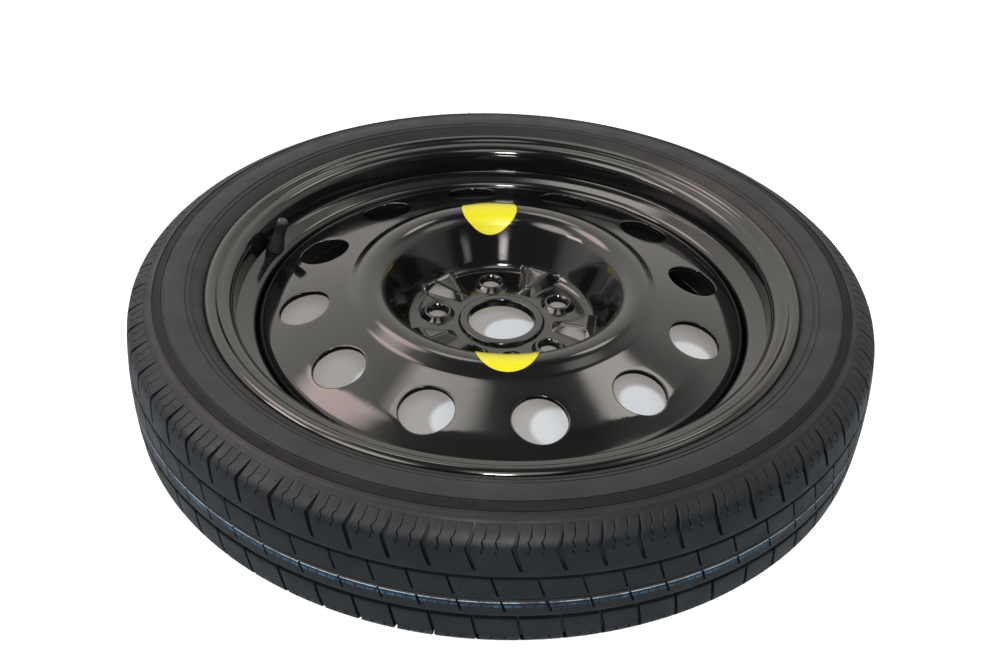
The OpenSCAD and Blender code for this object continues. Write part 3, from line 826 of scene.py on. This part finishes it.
def wedge_sector(sheet, az, surface, levels):
    """The sheet round one stiffening wedge between two bolts, and the wedge itself."""
    border = sector_border(18, INNER_RADII + OUTER_RADII)
    rings = [wedge_ring(off, kind, amount, surface) for off, kind, amount in levels]
    wedge = rows_round(border, WEDGE_CENTRE, rings, surface)
    last = sheet.stack(rows_in(border, wedge[0], surface, 4) + wedge, az)
    sheet.faces.append(tuple(last))


def on_vent(direction, grow, sink, surface):
    """A point on the wall of a vent hole, at its radius and grow, sunk down its axis from the sheet."""
    axis = (math.sin(SLOPE), math.cos(SLOPE))
    phi = math.atan2(direction[1], direction[0])
    down_slope, y = (VENT_HOLE + grow) * math.cos(phi), (VENT_HOLE + grow) * math.sin(phi)
    x0, z0 = VENT_R + down_slope * math.cos(SLOPE), VENT_Z - down_slope * math.sin(SLOPE)
    t = 0.0
    for _ in range(12):
        t -= (z0 + t * axis[1] - surface(math.hypot(x0 + t * axis[0], y))) * 0.9
    t -= sink
    return x0 + t * axis[0], y, z0 + t * axis[1]


def vent_sector(sheet, az, surface, side):
    """The slope round one vent hole and the hole's rolled edge, down to half the sheet's thickness."""
    border = sector_border(15, [VENT_IN + (VENT_OUT - VENT_IN) * k / 14 for k in range(15)])
    ways = [unit2(x - VENT_R, y) for x, y in border]
    foot = [on_vent(way, 1.2, 0, surface) for way in ways]
    edge = [[on_vent(way, grow, sink * side, surface) for way in ways] for grow, sink in VENT_EDGE]
    halfway = [tuple((m + n) / 2 for m, n in zip(on_vent(way, 0, 0, top_z), on_vent(way, 0, 0, under_z)))
               for way in ways]
    inmost = [(x, y, surface(math.hypot(x, y))) for x, y, _ in foot]
    sheet.stack(rows_in(border, foot, surface, 5) + [inmost] + edge + [halfway], az)


def slope_between(sheet, surface, path):
    """The bowl and the slope between the hub plate and the ring of vents."""
    marks = [OUTER_RADII[-1]] + [q.x for q in path if OUTER_RADII[-1] + 0.05 < q.x < VENT_IN - 0.05]
    marks.append(VENT_IN)
    radii = []
    for a, b in zip(marks, marks[1:]):
        n = max(1, math.ceil((b - a) / 6))
        radii += [a + (b - a) * k / n for k in range(n)]
    radii.append(VENT_IN)
    sheet.turned([(r, surface(r)) for r in radii], BOLT_AZ, BOLT_AZ + 360)


def skirt(sheet):
    """The skirt beyond the vents, down one side, round its cut edge and up the other."""
    over = [(VENT_OUT, top_z(VENT_OUT))] + [(q.x, q.y) for q in disc_path if q.x > VENT_OUT + 0.05]
    under = [(VENT_OUT, under_z(VENT_OUT))] + [(q.x, q.y) for q in disc_under if q.x > VENT_OUT + 0.05]
    (r0, z0), (r1, z1) = over.pop(), under.pop()
    cut_edge = [(r0, z0 + 0.6), (r0 - 0.2, z0 + 0.15), (r0 - 0.7, z0),
                (r1 + 0.7, z1), (r1 + 0.2, z1 + 0.15), (r1, z1 + 0.6)]
    sheet.turned(over + cut_edge + under[::-1], VENT_AZ, VENT_AZ + 360)


def collar(sheet):
    """The raised collar round the bore, from the plate's top to its back."""
    path = rounded([(COLLAR_R, DISC_T, 0), (37.4, DISC_T, 0), (35.8, 7.5, 1.6), (BORE_R, 7.5, 1.8),
                    (BORE_R, 0, 0.5), (COLLAR_R, 0, 0)], 12)
    sheet.turned([(q.x, q.y) for q in path], BOLT_AZ - 18, BOLT_AZ + 342)


def make_disc():
    """The pressed disc: its top, then its back, then the skirt and the collar that close the sheet."""
    sheet = Sheet()
    for surface, path, side, seat, wedge in ((top_z, disc_path, 1, SEAT_TOP, WEDGE_TOP),
                                             (under_z, disc_under, -1, SEAT_BACK, WEDGE_BACK)):
        for k in range(BOLTS):
            az = BOLT_AZ + 360 / BOLTS * k
            seat_sector(sheet, az, surface, seat)
            wedge_sector(sheet, az + 180 / BOLTS, surface, wedge)
        for k in range(VENTS):
            vent_sector(sheet, VENT_AZ + 360 / VENTS * k, surface, side)
        slope_between(sheet, surface, path)
    skirt(sheet)
    collar(sheet)
    return solid("pressed_disc", sheet.verts, sheet.faces, MATERIALS["paint"], 50, weld=0.02)


def make_rim():
    """The rolled rim: a profile of flanges, bead seats, humps and well, and its offset as the inner side."""
    wi, t = HALF_RIM, math.tan(math.radians(5))
    well = SEAT_R - WELL_DEPTH
    half = [(SEAT_R + FLANGE_H, wi + 2.2, 0), (SEAT_R + FLANGE_H - 3.9, wi + 5.4, 3.2), (SEAT_R + 9.5, wi, 8),
            (SEAT_R, wi, 6.5), (SEAT_R - 18.3 * t, wi - 18.3, 3), (SEAT_R - 0.3, wi - 21.3, 3.6),
            (well + 15, wi - 24.5, 4), (well, wi - 24.5 - 15 * math.tan(math.radians(17.4)), 4)]
    whole = half + [(r, -z, f) for r, z, f in reversed(half)]
    pts = rounded([(r, z + MID_Z, f) for r, z, f in whole], 11)
    inner_side = shifted(pts, RIM_T)
    lips = []
    for a, b, along in ((pts[-1], inner_side[-1], pts[-1] - pts[-2]),
                        (inner_side[0], pts[0], pts[0] - pts[1])):
        across, back = (b - a).normalized(), along.normalized()
        lips.append([a - back * 0.9, a - back * 0.25 + across * 0.15, a + across * 0.8, b - across * 0.8,
                     b - back * 0.25 - across * 0.15, b - back * 0.9])
    outline = pts[1:-1] + lips[0] + inner_side[-2:0:-1] + lips[1]
    return lathe("rolled_rim", [(q.x, q.y) for q in outline], 360, MATERIALS["paint"], 40)


disc = make_disc()
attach(disc, "wheel")
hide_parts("disc")
rim = make_rim()
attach(rim, "wheel")
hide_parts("rim")


# Stage, lamps and camera

def sweep():
    """White paper sweep: matt and even, lit up for the camera alone beyond the wheel's own ground; under the
    wheel a dim warm glow is painted light on the floor seen through the vents and the bore.
    """
    mat, tree, shader, co = material("matt white paper", "b3b6ba", 0.9)
    seen = add(tree, "ShaderNodeLightPath", out="Is Camera Ray")
    away = add(tree, "ShaderNodeVectorMath", {0: co}, out="Value", operation="LENGTH")
    # For camera rays: 0.8 beyond the wheel makes the floor evenly white; the 0.22 under the wheel is painted
    # light, a warm glow on the floor in the wheel's shade
    even_white_and_painted_glow = add(tree, "ShaderNodeValToRGB", {"Fac": away}, stops=[(0.27, 0.22), (0.30, 0.8)])
    lift = add(tree, "ShaderNodeMath", {0: seen, 1: even_white_and_painted_glow}, operation="MULTIPLY")
    shader["Emission Color"].default_value = lin("fbf3ea")
    tree.links.new(lift, shader["Emission Strength"])
    return mat


FLOOR_Z = bounds_before[0][2] - 0.0002
HALF_FLOOR = 6.0
floor_mesh = bpy.data.meshes.new("studio_floor")
corners = [(x * HALF_FLOOR, y * HALF_FLOOR, 0) for x, y in ((-1, -1), (1, -1), (1, 1), (-1, 1))]
floor_mesh.from_pydata(corners, [], [(0, 1, 2, 3)])
floor_mesh.materials.append(sweep())
floor = bpy.data.objects.new("studio_floor", floor_mesh)
floor.location.z = FLOOR_Z
scene.collection.objects.link(floor)


def panel(name, at, size_m, power, colour):
    """A rectangular lamp that points at the wheel."""
    data = bpy.data.lights.new(name, "AREA")
    data.shape = "RECTANGLE"
    data.size, data.size_y = size_m
    data.energy = power
    data.color = colour
    o = bpy.data.objects.new(name, data)
    o.location = at
    o.rotation_euler = (-Vector(at)).to_track_quat("-Z", "Y").to_euler()
    scene.collection.objects.link(o)
    return o


panel("lamp above the camera", (0.02, -1.02, 0.80), (0.16, 0.1), 8, (1, 0.985, 0.97))
panel("left panel", (-1.2, -0.35, 0.7), (0.4, 0.3), 4, (1, 0.9, 0.9))
panel("overhead panel", (0.0, 0.3, 2.2), (1.6, 1.2), 12, (1, 1, 1)).visible_glossy = False

# Falls through the vents and the bore, so that the floor below shows lit and shaded parts
sun_data = bpy.data.lights.new("beam through the vents", "SUN")
sun_data.energy = 3.2
sun_data.angle = math.radians(2)
sun_data.color = (0.9, 0.97, 1)
sun = bpy.data.objects.new("beam through the vents", sun_data)
sun.rotation_euler = Vector((0.12, 0.74, -0.66)).to_track_quat("-Z", "Y").to_euler()
sun.visible_glossy = False
scene.collection.objects.link(sun)

# The room as the gloss mirrors it
# Dim parts: a direction, where they begin and are full, and how much they take
DIM_PARTS = (((0, -1, 0.25), 0.1, 0.7, 0.72), ((0, -1, 0), 0.45, 0.58, 0.78),
             ((0.4, 0.3, 0.87), 0.9, 0.98, 0.6))
# Lamps, round or wider than high: a direction, where they begin and are full, and their strength
LEFT_BOX = ((-0.521, 0.301, 0.799), 0.972, 0.992)
ROUND_LAMPS = (((-0.158, 0.392, 0.906), 0.991, 0.994, 5.0), ((0.345, 0.458, 0.819), 0.9925, 0.995, 6.0),
               ((-0.59, -0.48, 0.65), 0.95, 0.985, 6.5), ((0.08, -0.56, 0.8), 0.965, 0.99, 4.0),
               ((0.6, -0.08, 0.79), 0.97, 0.99, 2.0))
WIDE_LAMPS = (((0.02, -0.934, 0.35), 0.9975, 0.9988, 28.0), ((0.62, -0.72, 0.303), 0.9985, 0.9994, 5.0),
              ((0.05, -0.872, 0.488), 0.9985, 0.9994, 8.0))
LAMP_HALF_HEIGHT = 0.008


def toward(tree, co, way, begin, full):
    """1 in a round patch of the room in a direction, and 0 away from it."""
    near = add(tree, "ShaderNodeVectorMath", {0: co, 1: Vector(way).normalized()}, out="Value",
               operation="DOT_PRODUCT")
    return add(tree, "ShaderNodeValToRGB", {"Fac": near}, stops=[(begin, 0.0), (full, 1.0)])


def room():
    """White for the camera, even and dim as lighting; the gloss mirrors a warm room with a bright left."""
    world = bpy.data.worlds.new("soft room")
    scene.world = world
    world.use_nodes = True
    tree = world.node_tree
    co = add(tree, "ShaderNodeTexCoord", out="Generated")
    x, _, z = add(tree, "ShaderNodeSeparateXYZ", {"Vector": co}).node.outputs
    up = add(tree, "ShaderNodeMath", {0: z, 1: 0.5, 2: 0.5}, operation="MULTIPLY_ADD")
    strength = add(tree, "ShaderNodeValToRGB", {"Fac": up},
                   stops=[(0.47, 0.08), (0.53, 0.16), (0.58, 0.42), (0.67, 0.56), (0.82, 0.62), (0.9, 0.6),
                          (0.935, 0.46), (0.968, 0.15), (1.0, 0.1)])
    # How much is left of it: less to the right, and less in each dim part
    left_over = [add(tree, "ShaderNodeMath", {0: x, 1: -0.3, 2: 1.0}, operation="MULTIPLY_ADD"), 2.7]
    for way, begin, full, taken in DIM_PARTS:
        part = toward(tree, co, way, begin, full)
        left_over.append(add(tree, "ShaderNodeMath", {0: part, 1: -taken, 2: 1.0}, operation="MULTIPLY_ADD"))
    for share in left_over:
        strength = add(tree, "ShaderNodeMath", {0: strength, 1: share}, operation="MULTIPLY")
    left_box = toward(tree, co, *LEFT_BOX)
    lamps = [(left_box, 7.0)]
    lamps += [(toward(tree, co, way, begin, full), power) for way, begin, full, power in ROUND_LAMPS]
    for way, begin, full, power in WIDE_LAMPS:
        band = between(tree, z, way[2] - LAMP_HALF_HEIGHT, way[2] + LAMP_HALF_HEIGHT)
        spot = add(tree, "ShaderNodeMath", {0: toward(tree, co, way, begin, full), 1: band},
                   operation="MULTIPLY")
        lamps.append((spot, power))
    for spot, power in lamps:
        strength = add(tree, "ShaderNodeMath", {0: spot, 1: power, 2: strength}, operation="MULTIPLY_ADD")
    tint = add(tree, "ShaderNodeMix", {0: left_box, 6: "fffaf2", 7: "ffe6df"}, out=2, data_type="RGBA")
    mirrored = add(tree, "ShaderNodeBackground", {"Color": tint, "Strength": strength})
    even = add(tree, "ShaderNodeBackground", {"Color": "ffffff", "Strength": 0.25})
    white = add(tree, "ShaderNodeBackground", {"Color": "ffffff", "Strength": 1.0})
    glossy = add(tree, "ShaderNodeLightPath", out="Is Glossy Ray")
    camera_ray = add(tree, "ShaderNodeLightPath", out="Is Camera Ray")
    lit = add(tree, "ShaderNodeMixShader", {0: glossy, 1: even, 2: mirrored})
    seen = add(tree, "ShaderNodeMixShader", {0: camera_ray, 1: lit, 2: white})
    tree.links.new(seen, tree.nodes["World Output"].inputs["Surface"])


room()

# The camera was fitted to the vent circle, the bolt circle, the flange lip and the tyre outline
FOCAL_PX, FAR_M, LOOKED_AT_Z = 1377.7, 6.9874 * 0.168, 0.0335
PHOTO_PX = (1000, 666)
SENSOR_MM = 36
ELEV, PAN, TILT, ROLL = (math.radians(a) for a in (34.646, -0.037, -1.643, -2.489))
cam_data = bpy.data.cameras.new("camera")
cam_data.sensor_fit = "HORIZONTAL"
cam_data.sensor_width = SENSOR_MM
cam_data.lens = SENSOR_MM * FOCAL_PX / PHOTO_PX[0]
cam_data.clip_start = 0.01
cam = bpy.data.objects.new("camera", cam_data)
eye = Vector((0, -FAR_M * math.cos(ELEV), FAR_M * math.sin(ELEV)))
fwd = -eye.normalized()
right = Vector((1, 0, 0))
axes = Matrix((right, right.cross(fwd), fwd))
turn_p = Matrix(((math.cos(PAN), 0, -math.sin(PAN)), (0, 1, 0), (math.sin(PAN), 0, math.cos(PAN))))
turn_t = Matrix(((1, 0, 0), (0, math.cos(TILT), -math.sin(TILT)), (0, math.sin(TILT), math.cos(TILT))))
turn_r = Matrix(((math.cos(ROLL), -math.sin(ROLL), 0), (math.sin(ROLL), math.cos(ROLL), 0), (0, 0, 1)))
view = turn_r @ turn_t @ turn_p @ axes
cam.matrix_world = Matrix.Translation(eye + Vector((0, 0, LOOKED_AT_Z))) @ Matrix(
    (view[0], view[1], -view[2])).transposed().to_4x4()
scene.collection.objects.link(cam)
scene.camera = cam

scene.render.resolution_x, scene.render.resolution_y = PHOTO_PX
scene.view_settings.view_transform = "Standard"
